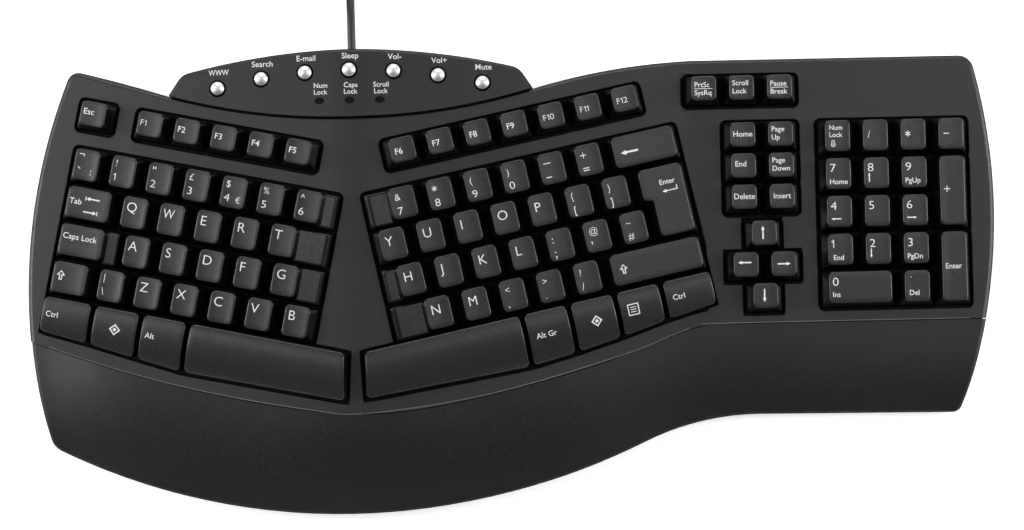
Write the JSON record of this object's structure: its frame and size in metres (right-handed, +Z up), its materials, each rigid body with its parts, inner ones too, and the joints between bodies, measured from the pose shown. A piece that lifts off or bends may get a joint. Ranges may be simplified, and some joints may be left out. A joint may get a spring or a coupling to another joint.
{
  "type": "ergonomic split keyboard",
  "caption": "Corded ergonomic keyboard with two turned letter blocks on a gull-wing deck, a flat cursor and number block, a raised media panel and a built-in palm rest.",
  "frame": {"origin": "on the desk under the middle of the case, measured without the cord", "axes": "+X to the typist's right, +Y away from the typist, +Z up; the front edge and the palm rest face -Y"},
  "size_m": [0.4889, 0.3346, 0.0447],
  "materials": {
    "cover_plastic": "fine-textured charcoal ABS",
    "palm_plastic": "fine-textured charcoal ABS, slightly darker",
    "panel_plastic": "fine-textured charcoal ABS",
    "tray_plastic": "textured black ABS",
    "frame_plastic": "plain black ABS",
    "dome_rubber": "soft silicone",
    "membrane_film": "printed polyester film",
    "plate_steel": "zinc-plated sheet",
    "board_laminate": "glass-fibre board with solder mask",
    "light_pipe": "smoked acrylic, unlit",
    "gland_rubber": "moulded rubber",
    "cord_jacket": "smooth black cord jacket",
    "tie_plastic": "black strap",
    "plug_plastic": "overmoulded plug with a plated shell",
    "foot_rubber": "rubber foot",
    "screw_steel": "black-plated steel screw",
    "flip_plastic": "moulded ABS",
    "key_plastic": "satin charcoal ABS keycap",
    "button_metal": "satin silver-plated button"
  },
  "bodies": {
    "case": {"top_cover": "cover_plastic", "palm_rest": "palm_plastic", "media_panel": "panel_plastic", "bottom_case": "tray_plastic", "key_frame_left": "frame_plastic", "key_frame_right": "frame_plastic", "key_frame_side": "frame_plastic", "dome_mats": "dome_rubber", "switch_membranes": "membrane_film", "base_plates": "plate_steel", "controller_board": "board_laminate", "media_switch_strip": "board_laminate", "status_lights": "light_pipe", "cable_gland": "gland_rubber", "usb_cord": "cord_jacket", "cord_coil": "cord_jacket", "cord_tie": "tie_plastic", "usb_plug": "plug_plastic", "rubber_feet": "foot_rubber", "case_screws": "screw_steel"},
    "flip_foot_left": {"flip_foot_left": "flip_plastic"},
    "flip_foot_right": {"flip_foot_right": "flip_plastic"},
    "esc_key": {"esc_key": "key_plastic"},
    "function_keys_left": {"function_keys_left": "key_plastic"},
    "number_keys_left": {"number_keys_left": "key_plastic"},
    "tab_key": {"tab_key": "key_plastic"},
    "top_row_left": {"top_row_left": "key_plastic"},
    "caps_lock_key": {"caps_lock_key": "key_plastic"},
    "home_row_left": {"home_row_left": "key_plastic"},
    "shift_key_left": {"shift_key_left": "key_plastic"},
    "bottom_row_left": {"bottom_row_left": "key_plastic"},
    "ctrl_key_left": {"ctrl_key_left": "key_plastic"},
    "super_key_left": {"super_key_left": "key_plastic"},
    "alt_key": {"alt_key": "key_plastic"},
    "space_bar_left": {"space_bar_left": "key_plastic"},
    "function_keys_right": {"function_keys_right": "key_plastic"},
    "number_keys_right": {"number_keys_right": "key_plastic"},
    "backspace_key": {"backspace_key": "key_plastic"},
    "top_row_right": {"top_row_right": "key_plastic"},
    "enter_key": {"enter_key": "key_plastic"},
    "home_row_right": {"home_row_right": "key_plastic"},
    "bottom_row_right": {"bottom_row_right": "key_plastic"},
    "shift_key_right": {"shift_key_right": "key_plastic"},
    "space_bar_right": {"space_bar_right": "key_plastic"},
    "alt_gr_key": {"alt_gr_key": "key_plastic"},
    "super_key_right": {"super_key_right": "key_plastic"},
    "menu_key": {"menu_key": "key_plastic"},
    "ctrl_key_right": {"ctrl_key_right": "key_plastic"},
    "system_keys": {"system_keys": "key_plastic"},
    "navigation_keys": {"navigation_keys": "key_plastic"},
    "arrow_keys": {"arrow_keys": "key_plastic"},
    "numpad_top_row": {"numpad_top_row": "key_plastic"},
    "numpad_digits": {"numpad_digits": "key_plastic"},
    "numpad_plus": {"numpad_plus": "key_plastic"},
    "numpad_enter": {"numpad_enter": "key_plastic"},
    "numpad_zero": {"numpad_zero": "key_plastic"},
    "numpad_point": {"numpad_point": "key_plastic"},
    "media_buttons": {"media_buttons": "button_metal"}
  },
  "joints": [
    {"name": "flip_foot_left_hinge", "type": "hinge", "parent": "case", "child": "flip_foot_left", "pos_m": [-0.201, 0.091, 0.0038], "axis": [1, 0, 0], "range_deg": [0, 100]},
    {"name": "flip_foot_right_hinge", "type": "hinge", "parent": "case", "child": "flip_foot_right", "pos_m": [0.185, 0.0955, 0.0038], "axis": [1, 0, 0], "range_deg": [0, 100]},
    {"name": "esc_key_press", "type": "slide", "parent": "case", "child": "esc_key", "axis": [0.0958, 0, -0.9954], "range_m": [0, 0.0035], "stiffness_N_per_m": 110, "springref_m": -0.0015, "deforming": ["dome_mats"]},
    {"name": "function_keys_left_press", "type": "slide", "parent": "case", "child": "function_keys_left", "axis": [0.0958, 0, -0.9954], "range_m": [0, 0.0035], "stiffness_N_per_m": 550, "springref_m": -0.0015, "deforming": ["dome_mats"]},
    {"name": "number_keys_left_press", "type": "slide", "parent": "case", "child": "number_keys_left", "axis": [0.0958, 0, -0.9954], "range_m": [0, 0.0035], "stiffness_N_per_m": 770, "springref_m": -0.0015, "deforming": ["dome_mats"]},
    {"name": "tab_key_press", "type": "slide", "parent": "case", "child": "tab_key", "axis": [0.0958, 0, -0.9954], "range_m": [0, 0.0035], "stiffness_N_per_m": 110, "springref_m": -0.0015, "deforming": ["dome_mats"]},
    {"name": "top_row_left_press", "type": "slide", "parent": "case", "child": "top_row_left", "axis": [0.0958, 0, -0.9954], "range_m": [0, 0.0035], "stiffness_N_per_m": 550, "springref_m": -0.0015, "deforming": ["dome_mats"]},
    {"name": "caps_lock_key_press", "type": "slide", "parent": "case", "child": "caps_lock_key", "axis": [0.0958, 0, -0.9954], "range_m": [0, 0.0035], "stiffness_N_per_m": 110, "springref_m": -0.0015, "deforming": ["dome_mats"]},
    {"name": "home_row_left_press", "type": "slide", "parent": "case", "child": "home_row_left", "axis": [0.0958, 0, -0.9954], "range_m": [0, 0.0035], "stiffness_N_per_m": 550, "springref_m": -0.0015, "deforming": ["dome_mats"]},
    {"name": "shift_key_left_press", "type": "slide", "parent": "case", "child": "shift_key_left", "axis": [0.0958, 0, -0.9954], "range_m": [0, 0.0035], "stiffness_N_per_m": 110, "springref_m": -0.0015, "deforming": ["dome_mats"]},
    {"name": "bottom_row_left_press", "type": "slide", "parent": "case", "child": "bottom_row_left", "axis": [0.0958, 0, -0.9954], "range_m": [0, 0.0035], "stiffness_N_per_m": 660, "springref_m": -0.0015, "deforming": ["dome_mats"]},
    {"name": "ctrl_key_left_press", "type": "slide", "parent": "case", "child": "ctrl_key_left", "axis": [0.0958, 0, -0.9954], "range_m": [0, 0.0035], "stiffness_N_per_m": 110, "springref_m": -0.0015, "deforming": ["dome_mats"]},
    {"name": "super_key_left_press", "type": "slide", "parent": "case", "child": "super_key_left", "axis": [0.0958, 0, -0.9954], "range_m": [0, 0.0035], "stiffness_N_per_m": 110, "springref_m": -0.0015, "deforming": ["dome_mats"]},
    {"name": "alt_key_press", "type": "slide", "parent": "case", "child": "alt_key", "axis": [0.0958, 0, -0.9954], "range_m": [0, 0.0035], "stiffness_N_per_m": 110, "springref_m": -0.0015, "deforming": ["dome_mats"]},
    {"name": "space_bar_left_press", "type": "slide", "parent": "case", "child": "space_bar_left", "axis": [0.0958, 0, -0.9954], "range_m": [0, 0.0035], "stiffness_N_per_m": 330, "springref_m": -0.0015, "deforming": ["dome_mats"]},
    {"name": "function_keys_right_press", "type": "slide", "parent": "case", "child": "function_keys_right", "axis": [-0.0958, 0, -0.9954], "range_m": [0, 0.0035], "stiffness_N_per_m": 770, "springref_m": -0.0015, "deforming": ["dome_mats"]},
    {"name": "number_keys_right_press", "type": "slide", "parent": "case", "child": "number_keys_right", "axis": [-0.0958, 0, -0.9954], "range_m": [0, 0.0035], "stiffness_N_per_m": 660, "springref_m": -0.0015, "deforming": ["dome_mats"]},
    {"name": "backspace_key_press", "type": "slide", "parent": "case", "child": "backspace_key", "axis": [-0.0958, 0, -0.9954], "range_m": [0, 0.0035], "stiffness_N_per_m": 110, "springref_m": -0.0015, "deforming": ["dome_mats"]},
    {"name": "top_row_right_press", "type": "slide", "parent": "case", "child": "top_row_right", "axis": [-0.0958, 0, -0.9954], "range_m": [0, 0.0035], "stiffness_N_per_m": 770, "springref_m": -0.0015, "deforming": ["dome_mats"]},
    {"name": "enter_key_press", "type": "slide", "parent": "case", "child": "enter_key", "axis": [-0.0958, 0, -0.9954], "range_m": [0, 0.0035], "stiffness_N_per_m": 220, "springref_m": -0.0015, "deforming": ["dome_mats"]},
    {"name": "home_row_right_press", "type": "slide", "parent": "case", "child": "home_row_right", "axis": [-0.0958, 0, -0.9954], "range_m": [0, 0.0035], "stiffness_N_per_m": 770, "springref_m": -0.0015, "deforming": ["dome_mats"]},
    {"name": "bottom_row_right_press", "type": "slide", "parent": "case", "child": "bottom_row_right", "axis": [-0.0958, 0, -0.9954], "range_m": [0, 0.0035], "stiffness_N_per_m": 550, "springref_m": -0.0015, "deforming": ["dome_mats"]},
    {"name": "shift_key_right_press", "type": "slide", "parent": "case", "child": "shift_key_right", "axis": [-0.0958, 0, -0.9954], "range_m": [0, 0.0035], "stiffness_N_per_m": 165, "springref_m": -0.0015, "deforming": ["dome_mats"]},
    {"name": "space_bar_right_press", "type": "slide", "parent": "case", "child": "space_bar_right", "axis": [-0.0958, 0, -0.9954], "range_m": [0, 0.0035], "stiffness_N_per_m": 330, "springref_m": -0.0015, "deforming": ["dome_mats"]},
    {"name": "alt_gr_key_press", "type": "slide", "parent": "case", "child": "alt_gr_key", "axis": [-0.0958, 0, -0.9954], "range_m": [0, 0.0035], "stiffness_N_per_m": 110, "springref_m": -0.0015, "deforming": ["dome_mats"]},
    {"name": "super_key_right_press", "type": "slide", "parent": "case", "child": "super_key_right", "axis": [-0.0958, 0, -0.9954], "range_m": [0, 0.0035], "stiffness_N_per_m": 110, "springref_m": -0.0015, "deforming": ["dome_mats"]},
    {"name": "menu_key_press", "type": "slide", "parent": "case", "child": "menu_key", "axis": [-0.0958, 0, -0.9954], "range_m": [0, 0.0035], "stiffness_N_per_m": 110, "springref_m": -0.0015, "deforming": ["dome_mats"]},
    {"name": "ctrl_key_right_press", "type": "slide", "parent": "case", "child": "ctrl_key_right", "axis": [-0.0958, 0, -0.9954], "range_m": [0, 0.0035], "stiffness_N_per_m": 110, "springref_m": -0.0015, "deforming": ["dome_mats"]},
    {"name": "system_keys_press", "type": "slide", "parent": "case", "child": "system_keys", "axis": [-0.0175, 0, -0.9998], "range_m": [0, 0.0035], "stiffness_N_per_m": 330, "springref_m": -0.0015, "deforming": ["dome_mats"]},
    {"name": "navigation_keys_press", "type": "slide", "parent": "case", "child": "navigation_keys", "axis": [-0.0175, 0, -0.9998], "range_m": [0, 0.0035], "stiffness_N_per_m": 660, "springref_m": -0.0015, "deforming": ["dome_mats"]},
    {"name": "arrow_keys_press", "type": "slide", "parent": "case", "child": "arrow_keys", "axis": [-0.0175, 0, -0.9998], "range_m": [0, 0.0035], "stiffness_N_per_m": 440, "springref_m": -0.0015, "deforming": ["dome_mats"]},
    {"name": "numpad_top_row_press", "type": "slide", "parent": "case", "child": "numpad_top_row", "axis": [-0.0175, 0, -0.9998], "range_m": [0, 0.0035], "stiffness_N_per_m": 440, "springref_m": -0.0015, "deforming": ["dome_mats"]},
    {"name": "numpad_digits_press", "type": "slide", "parent": "case", "child": "numpad_digits", "axis": [-0.0175, 0, -0.9998], "range_m": [0, 0.0035], "stiffness_N_per_m": 990, "springref_m": -0.0015, "deforming": ["dome_mats"]},
    {"name": "numpad_plus_press", "type": "slide", "parent": "case", "child": "numpad_plus", "axis": [-0.0175, 0, -0.9998], "range_m": [0, 0.0035], "stiffness_N_per_m": 165, "springref_m": -0.0015, "deforming": ["dome_mats"]},
    {"name": "numpad_enter_press", "type": "slide", "parent": "case", "child": "numpad_enter", "axis": [-0.0175, 0, -0.9998], "range_m": [0, 0.0035], "stiffness_N_per_m": 165, "springref_m": -0.0015, "deforming": ["dome_mats"]},
    {"name": "numpad_zero_press", "type": "slide", "parent": "case", "child": "numpad_zero", "axis": [-0.0175, 0, -0.9998], "range_m": [0, 0.0035], "stiffness_N_per_m": 165, "springref_m": -0.0015, "deforming": ["dome_mats"]},
    {"name": "numpad_point_press", "type": "slide", "parent": "case", "child": "numpad_point", "axis": [-0.0175, 0, -0.9998], "range_m": [0, 0.0035], "stiffness_N_per_m": 110, "springref_m": -0.0015, "deforming": ["dome_mats"]},
    {"name": "media_buttons_press", "type": "slide", "parent": "case", "child": "media_buttons", "axis": [0, 0, -1], "range_m": [0, 0.0012], "stiffness_N_per_m": 420, "springref_m": -0.0015}
  ]
}
